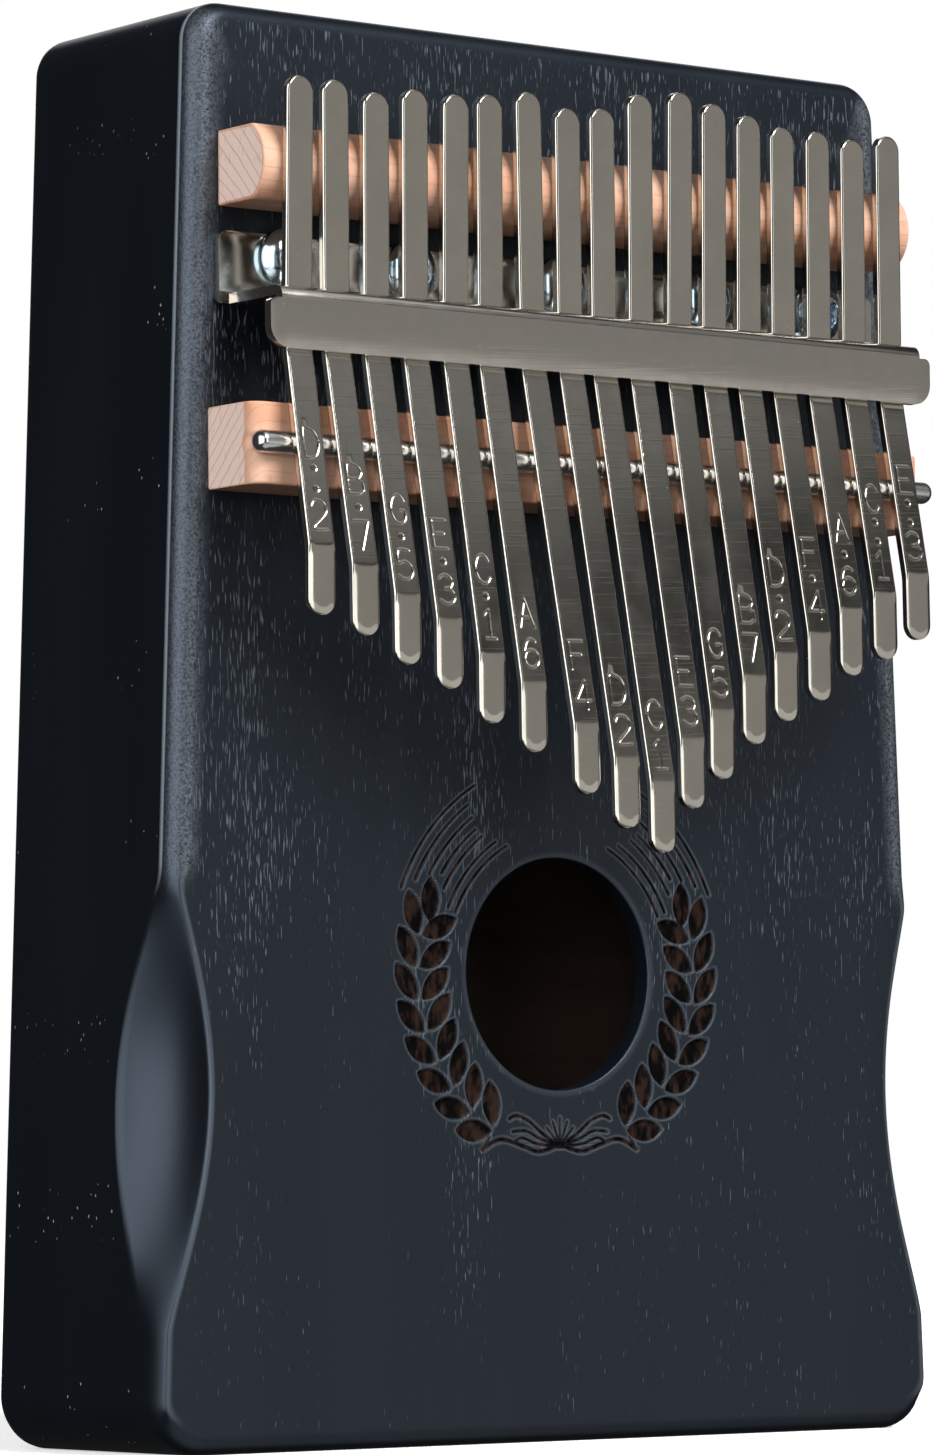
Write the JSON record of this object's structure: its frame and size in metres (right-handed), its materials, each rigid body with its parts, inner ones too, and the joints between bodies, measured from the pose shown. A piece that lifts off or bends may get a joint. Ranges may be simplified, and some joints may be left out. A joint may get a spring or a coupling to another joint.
{
  "type": "box kalimba",
  "caption": "Thumb piano: tapered hollow wooden box with scooped sides and a sound hole, with sprung steel tines held over two bars by a screwed bracket.",
  "frame": {"origin": "centre of the bottom end's outer face, where the box stands", "axes": "+Z from the bottom end to the top end along the tines, +Y from the tine side towards the back board, +X to the right as seen from the tine side"},
  "size_m": [0.1284, 0.0592, 0.185],
  "materials": {
    "stained_wood": "satin black stain over open pores",
    "raw_wood": "sawn",
    "bar_wood": "planed beech, unfinished",
    "rod_steel": "polished round steel",
    "bracket_steel": "satin nickel plating",
    "tine_steel": "warm nickel plating on spring steel",
    "zinc_screws": "blue zinc plating"
  },
  "bodies": {
    "root": {"soundboard": "stained_wood", "left_side": "stained_wood", "right_side": "stained_wood", "top_end": "stained_wood", "bottom_end": "stained_wood", "back_board": "stained_wood", "screw_block": "raw_wood", "rear_bar": "bar_wood", "front_bar": "bar_wood", "rod": "rod_steel", "bracket": "bracket_steel", "bracket_screws": "zinc_screws", "tine_01_root": "tine_steel", "tine_02_root": "tine_steel", "tine_03_root": "tine_steel", "tine_04_root": "tine_steel", "tine_05_root": "tine_steel", "tine_06_root": "tine_steel", "tine_07_root": "tine_steel", "tine_08_root": "tine_steel", "tine_09_root": "tine_steel", "tine_10_root": "tine_steel", "tine_11_root": "tine_steel", "tine_12_root": "tine_steel", "tine_13_root": "tine_steel", "tine_14_root": "tine_steel", "tine_15_root": "tine_steel", "tine_16_root": "tine_steel", "tine_17_root": "tine_steel"},
    "tine_01": {"tine_01": "tine_steel"},
    "tine_02": {"tine_02": "tine_steel"},
    "tine_03": {"tine_03": "tine_steel"},
    "tine_04": {"tine_04": "tine_steel"},
    "tine_05": {"tine_05": "tine_steel"},
    "tine_06": {"tine_06": "tine_steel"},
    "tine_07": {"tine_07": "tine_steel"},
    "tine_08": {"tine_08": "tine_steel"},
    "tine_09": {"tine_09": "tine_steel"},
    "tine_10": {"tine_10": "tine_steel"},
    "tine_11": {"tine_11": "tine_steel"},
    "tine_12": {"tine_12": "tine_steel"},
    "tine_13": {"tine_13": "tine_steel"},
    "tine_14": {"tine_14": "tine_steel"},
    "tine_15": {"tine_15": "tine_steel"},
    "tine_16": {"tine_16": "tine_steel"},
    "tine_17": {"tine_17": "tine_steel"}
  },
  "joints": [
    {"name": "tine_01_pluck", "type": "hinge", "parent": "root", "child": "tine_01", "pos_m": [-0.04984, -0.03179, 0.1275], "axis": [1, 0, -0.0052], "range_deg": [-3, 4], "stiffness_Nm_per_rad": 0.05},
    {"name": "tine_02_pluck", "type": "hinge", "parent": "root", "child": "tine_02", "pos_m": [-0.04361, -0.03179, 0.1275], "axis": [0.9999, 0, 0.0105], "range_deg": [-3, 4], "stiffness_Nm_per_rad": 0.05},
    {"name": "tine_03_pluck", "type": "hinge", "parent": "root", "child": "tine_03", "pos_m": [-0.03738, -0.03179, 0.1275], "axis": [1, 0, 0.0052], "range_deg": [-3, 4], "stiffness_Nm_per_rad": 0.05},
    {"name": "tine_04_pluck", "type": "hinge", "parent": "root", "child": "tine_04", "pos_m": [-0.03115, -0.03179, 0.1275], "axis": [1, 0, 0.0052], "range_deg": [-3, 4], "stiffness_Nm_per_rad": 0.05},
    {"name": "tine_05_pluck", "type": "hinge", "parent": "root", "child": "tine_05", "pos_m": [-0.02482, -0.03179, 0.1275], "axis": [1, 0, -0.0017], "range_deg": [-3, 4], "stiffness_Nm_per_rad": 0.05},
    {"name": "tine_06_pluck", "type": "hinge", "parent": "root", "child": "tine_06", "pos_m": [-0.01889, -0.03179, 0.1275], "axis": [1, 0, 0.0087], "range_deg": [-3, 4], "stiffness_Nm_per_rad": 0.05},
    {"name": "tine_07_pluck", "type": "hinge", "parent": "root", "child": "tine_07", "pos_m": [-0.01176, -0.03179, 0.1275], "axis": [0.9997, 0, 0.0244], "range_deg": [-3, 4], "stiffness_Nm_per_rad": 0.05},
    {"name": "tine_08_pluck", "type": "hinge", "parent": "root", "child": "tine_08", "pos_m": [-0.00563, -0.03179, 0.1275], "axis": [0.9998, 0, 0.0175], "range_deg": [-3, 4], "stiffness_Nm_per_rad": 0.05},
    {"name": "tine_09_pluck", "type": "hinge", "parent": "root", "child": "tine_09", "pos_m": [0, -0.03179, 0.1275], "axis": [0.9999, 0, 0.014], "range_deg": [-3, 4], "stiffness_Nm_per_rad": 0.05},
    {"name": "tine_10_pluck", "type": "hinge", "parent": "root", "child": "tine_10", "pos_m": [0.00623, -0.03179, 0.1275], "axis": [1, 0, 0.0087], "range_deg": [-3, 4], "stiffness_Nm_per_rad": 0.05},
    {"name": "tine_11_pluck", "type": "hinge", "parent": "root", "child": "tine_11", "pos_m": [0.01246, -0.03179, 0.1275], "axis": [1, 0, -0.0052], "range_deg": [-3, 4], "stiffness_Nm_per_rad": 0.05},
    {"name": "tine_12_pluck", "type": "hinge", "parent": "root", "child": "tine_12", "pos_m": [0.01859, -0.03179, 0.1275], "axis": [1, 0, 0.0017], "range_deg": [-3, 4], "stiffness_Nm_per_rad": 0.05},
    {"name": "tine_13_pluck", "type": "hinge", "parent": "root", "child": "tine_13", "pos_m": [0.02462, -0.03179, 0.1275], "axis": [1, 0, 0.0017], "range_deg": [-3, 4], "stiffness_Nm_per_rad": 0.05},
    {"name": "tine_14_pluck", "type": "hinge", "parent": "root", "child": "tine_14", "pos_m": [0.0308, -0.03179, 0.1275], "axis": [1, 0, 0.0087], "range_deg": [-3, 4], "stiffness_Nm_per_rad": 0.05},
    {"name": "tine_15_pluck", "type": "hinge", "parent": "root", "child": "tine_15", "pos_m": [0.03708, -0.03179, 0.1275], "axis": [1, 0, 0.0087], "range_deg": [-3, 4], "stiffness_Nm_per_rad": 0.05},
    {"name": "tine_16_pluck", "type": "hinge", "parent": "root", "child": "tine_16", "pos_m": [0.04341, -0.03179, 0.1275], "axis": [0.9999, 0, 0.0122], "range_deg": [-3, 4], "stiffness_Nm_per_rad": 0.05},
    {"name": "tine_17_pluck", "type": "hinge", "parent": "root", "child": "tine_17", "pos_m": [0.04984, -0.03179, 0.1275], "axis": [0.9999, 0, 0.014], "range_deg": [-3, 4], "stiffness_Nm_per_rad": 0.05}
  ]
}
